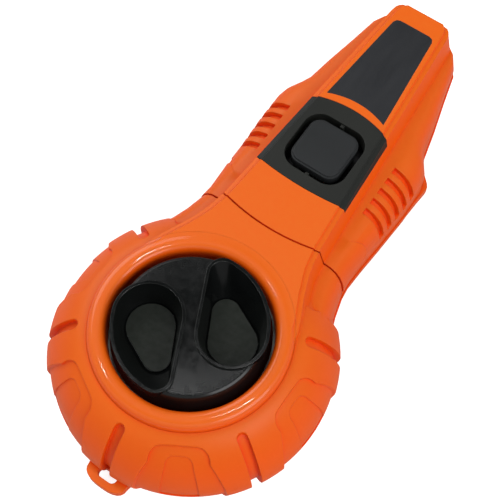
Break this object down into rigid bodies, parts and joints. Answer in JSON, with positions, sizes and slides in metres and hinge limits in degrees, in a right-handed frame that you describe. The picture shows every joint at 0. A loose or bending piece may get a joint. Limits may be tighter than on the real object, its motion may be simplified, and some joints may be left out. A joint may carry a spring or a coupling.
{
  "type": "handheld ink line reel",
  "caption": "Handheld snap-line reel: round treaded housing with a finger dial in a glossy ring, and a tapering neck with grip slots, a spring button plate and a hinged ink cover.",
  "frame": {"origin": "on the winding dial's axis at the flat back face", "axes": "+Z out of the dial's face along its axis, +Y from the reel to the nose along the neck, +X to the right seen from above"},
  "size_m": [0.076, 0.1557, 0.033],
  "materials": {
    "housing": "matte, fine texture",
    "glossy_ring": "glossy",
    "dial_black": "glossy",
    "black_plastic": "satin",
    "button_rubber": "matte",
    "label": "satin",
    "grip_pad": "matte",
    "steel": "bright",
    "brass": "bright",
    "white_plastic": "satin",
    "line": "braided",
    "felt": "inked felt"
  },
  "bodies": {
    "body": {"back_case": "housing", "front_case": "housing", "dial_bezel": "glossy_ring", "case_screws": "steel", "spindle": "steel", "thrust_washer": "white_plastic", "retaining_washer": "steel", "retaining_screw": "steel", "rear_guide": "brass", "ink_tray": "black_plastic", "tray_eyelets": "brass", "lower_felt": "felt", "nose_eyelet": "brass", "line_lead": "line", "hinge_pin": "steel"},
    "reel": {"spool": "white_plastic", "spool_bush": "brass", "line_pack": "line", "winding_dial": "dial_black", "cup_pads": "grip_pad", "dial_screws": "steel"},
    "cover": {"ink_cover": "housing", "button_bezel": "black_plastic", "label_plate": "label", "button_guide": "black_plastic", "guide_screws": "steel", "button_spring": "steel"},
    "button": {"push_button": "button_rubber", "press_foot": "black_plastic", "upper_felt": "felt"}
  },
  "joints": [
    {"name": "reel_spin", "type": "hinge", "parent": "body", "child": "reel", "pos_m": [0, 0, 0], "axis": [0, 0, 1], "continuous": true},
    {"name": "cover_open", "type": "hinge", "parent": "body", "child": "cover", "pos_m": [-0.0242, 0.067, 0.0092], "axis": [0, -1, 0], "range_deg": [0, 110]},
    {"name": "button_press", "type": "slide", "parent": "cover", "child": "button", "axis": [0, 0, -1], "range_m": [0, 0.0025], "stiffness_N_per_m": 800, "springref_m": -0.001, "deforming": ["button_spring"]}
  ]
}
